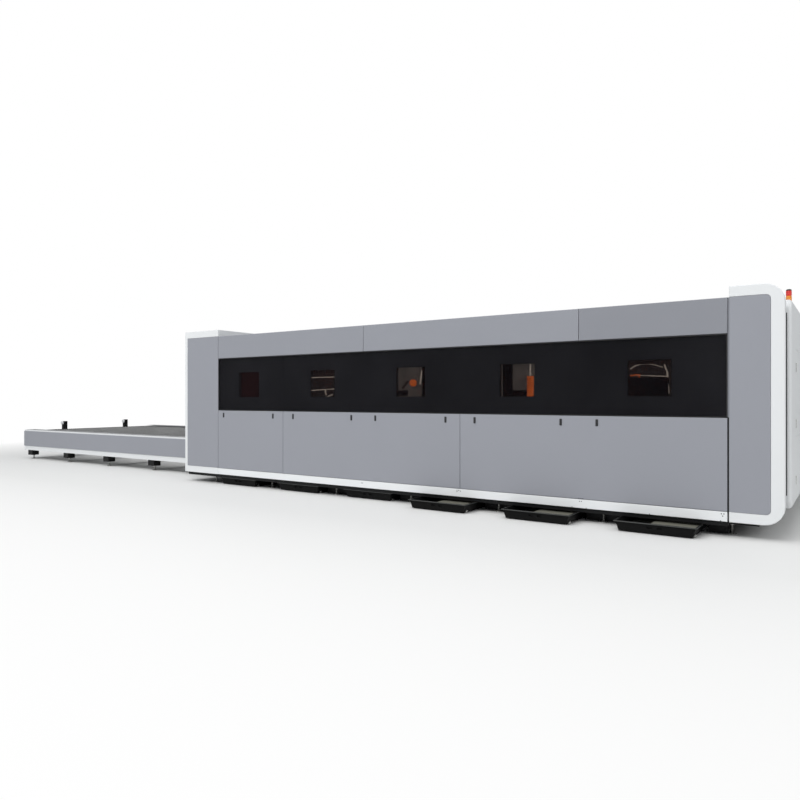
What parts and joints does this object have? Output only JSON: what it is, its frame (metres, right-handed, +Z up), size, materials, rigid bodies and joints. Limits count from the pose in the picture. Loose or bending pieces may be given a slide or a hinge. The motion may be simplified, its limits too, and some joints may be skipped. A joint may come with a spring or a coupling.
{
  "type": "fiber laser cutting machine",
  "caption": "Enclosed fiber laser cutting machine with exchange table, slatted pallets, gantry and cutting head, laser-safe windows, end doors and pull-out scrap trays.",
  "frame": {"origin": "middle of the footprint's bounding box, on the floor", "axes": "+X along the machine from the exchange table to the end doors, +Y from the front covers to the rear wall, +Z up"},
  "size_m": [15.31, 5, 2.5773],
  "materials": {
    "grey_cover": "satin powder coat, fine orange peel",
    "white_cover": "satin powder coat",
    "black_frame": "matt paint",
    "dark_wall": "matt paint",
    "dark_glass": "gloss, heavily tinted",
    "amber_glass": "laser safety glass, gloss",
    "door_glass": "gloss, bluish tint",
    "ground_steel": "ground and oiled",
    "slat_steel": "bare sheet steel, dulled",
    "signal": "clear coloured lenses",
    "machined_alloy": "machined, satin"
  },
  "bodies": {
    "root": {"bed_frame": "black_frame", "end_housing": "white_cover", "exchange_motor": "black_frame", "front_chain": "slat_steel", "front_end_cap": "white_cover", "front_end_panel": "grey_cover", "front_glass_1": "dark_glass", "front_glass_2": "dark_glass", "front_glass_3": "dark_glass", "front_guide_rail": "ground_steel", "front_lower_cover_1": "grey_cover", "front_lower_cover_2": "grey_cover", "front_lower_cover_3": "grey_cover", "front_pallet_guide": "black_frame", "front_skirt": "white_cover", "front_table_panel": "grey_cover", "front_table_trim": "white_cover", "front_upper_cover_1": "grey_cover", "front_upper_cover_2": "grey_cover", "front_upper_cover_3": "grey_cover", "front_wall": "dark_wall", "laser_window_1": "amber_glass", "laser_window_2": "amber_glass", "laser_window_3": "amber_glass", "laser_window_4": "amber_glass", "laser_window_5": "amber_glass", "left_hood": "white_cover", "left_hood_panel": "grey_cover", "rear_chain": "slat_steel", "rear_duct_panel": "grey_cover", "rear_end_cap": "white_cover", "rear_guide_rail": "ground_steel", "rear_pallet_guide": "black_frame", "rear_table_panel": "grey_cover", "rear_table_trim": "white_cover", "rear_wall": "grey_cover", "roof_cover": "grey_cover", "signal_tower": "signal", "table_end_panel": "grey_cover", "table_frame": "black_frame"},
    "gantry": {"gantry_beam": "machined_alloy", "front_drive_motor": "black_frame", "rear_drive_motor": "black_frame"},
    "carriage": {"head_carriage": "machined_alloy"},
    "head": {"cutting_head": "machined_alloy"},
    "upper_pallet": {"upper_pallet": "slat_steel"},
    "lower_pallet": {"lower_pallet": "slat_steel"},
    "drive_shaft": {"drive_shaft": "ground_steel"},
    "idler_shaft": {"idler_shaft": "ground_steel"},
    "front_door": {"front_end_door": "white_cover", "front_door_glass": "door_glass"},
    "rear_door": {"rear_end_door": "white_cover", "rear_door_glass": "door_glass"},
    "tray_1": {"scrap_tray_1": "black_frame"},
    "tray_2": {"scrap_tray_2": "black_frame"},
    "tray_3": {"scrap_tray_3": "black_frame"},
    "tray_4": {"scrap_tray_4": "black_frame"},
    "tray_5": {"scrap_tray_5": "black_frame"},
    "tray_6": {"scrap_tray_6": "black_frame"}
  },
  "joints": [
    {"name": "gantry_slide", "type": "slide", "parent": "root", "child": "gantry", "axis": [1, 0, 0], "range_m": [-5.85, 0.25]},
    {"name": "carriage_slide", "type": "slide", "parent": "gantry", "child": "carriage", "axis": [0, 1, 0], "range_m": [-1.25, 1.25]},
    {"name": "head_slide", "type": "slide", "parent": "carriage", "child": "head", "axis": [0, 0, 1], "range_m": [-0.32, 0.03]},
    {"name": "pallet_exchange", "type": "slide", "parent": "root", "child": "upper_pallet", "axis": [1, 0, 0], "range_m": [0, 7.22]},
    {"name": "lower_pallet_exchange", "type": "slide", "parent": "root", "child": "lower_pallet", "axis": [1, 0, 0], "range_m": [-7.22, 0]},
    {"name": "drive_shaft_spin", "type": "hinge", "parent": "root", "child": "drive_shaft", "pos_m": [-7.505, 0.13, 0.445], "axis": [0, 1, 0], "range_deg": [0, 9193]},
    {"name": "idler_shaft_spin", "type": "hinge", "parent": "root", "child": "idler_shaft", "pos_m": [6.78, 0.13, 0.445], "axis": [0, 1, 0], "range_deg": [0, 9193]},
    {"name": "front_door_hinge", "type": "hinge", "parent": "root", "child": "front_door", "pos_m": [7.655, -1.45, 1.1], "axis": [0, 0, -1], "range_deg": [0, 110]},
    {"name": "rear_door_hinge", "type": "hinge", "parent": "root", "child": "rear_door", "pos_m": [7.655, 1.71, 1.1], "axis": [0, 0, 1], "range_deg": [0, 110]},
    {"name": "tray_1_slide", "type": "slide", "parent": "root", "child": "tray_1", "axis": [0, -1, 0], "range_m": [0, 2.4]},
    {"name": "tray_2_slide", "type": "slide", "parent": "root", "child": "tray_2", "axis": [0, -1, 0], "range_m": [0, 2.4]},
    {"name": "tray_3_slide", "type": "slide", "parent": "root", "child": "tray_3", "axis": [0, -1, 0], "range_m": [0, 2.4]},
    {"name": "tray_4_slide", "type": "slide", "parent": "root", "child": "tray_4", "axis": [0, -1, 0], "range_m": [-0.3, 2.1]},
    {"name": "tray_5_slide", "type": "slide", "parent": "root", "child": "tray_5", "axis": [0, -1, 0], "range_m": [-0.3, 2.1]},
    {"name": "tray_6_slide", "type": "slide", "parent": "root", "child": "tray_6", "axis": [0, -1, 0], "range_m": [-0.3, 2.1]}
  ],
  "couplings": [
    {"joint": "lower_pallet_exchange", "follows": "pallet_exchange", "ratio": -1},
    {"joint": "drive_shaft_spin", "follows": "pallet_exchange", "rad_per_m": 22.222},
    {"joint": "idler_shaft_spin", "follows": "pallet_exchange", "rad_per_m": 22.222}
  ]
}
